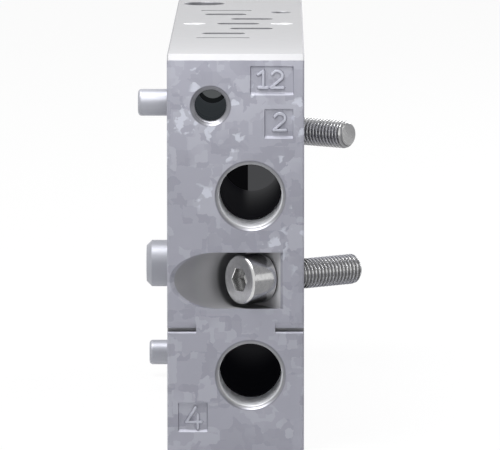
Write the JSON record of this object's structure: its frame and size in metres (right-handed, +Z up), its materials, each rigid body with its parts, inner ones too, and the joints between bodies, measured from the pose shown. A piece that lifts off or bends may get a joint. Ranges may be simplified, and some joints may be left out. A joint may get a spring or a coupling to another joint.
{
  "type": "pneumatic valve manifold plate",
  "caption": "Upright cast manifold plate with staggered valve slots on top, end ports, side galleries and spigots, and inclined cap screws that join it to the next plate.",
  "frame": {"origin": "centre of the base face, on the surface that the plate stands on", "axes": "+Z is up, from the base to the valve face. +Y runs from the front end with ports 2 and 4 to the back. +X is the side where the screw ends stand out."},
  "size_m": [0.0444, 0.1408, 0.079],
  "materials": {
    "cast_aluminium": "cast and tumbled, with machined faces",
    "screw_steel": "plain bright steel",
    "seal_rubber": "matt black"
  },
  "bodies": {
    "root": {"manifold_body": "cast_aluminium", "front_cap_screw": "screw_steel", "rear_cap_screw": "screw_steel", "supply_seal": "seal_rubber", "exhaust_seal_3": "seal_rubber", "exhaust_seal_5": "seal_rubber"}
  },
  "joints": []
}
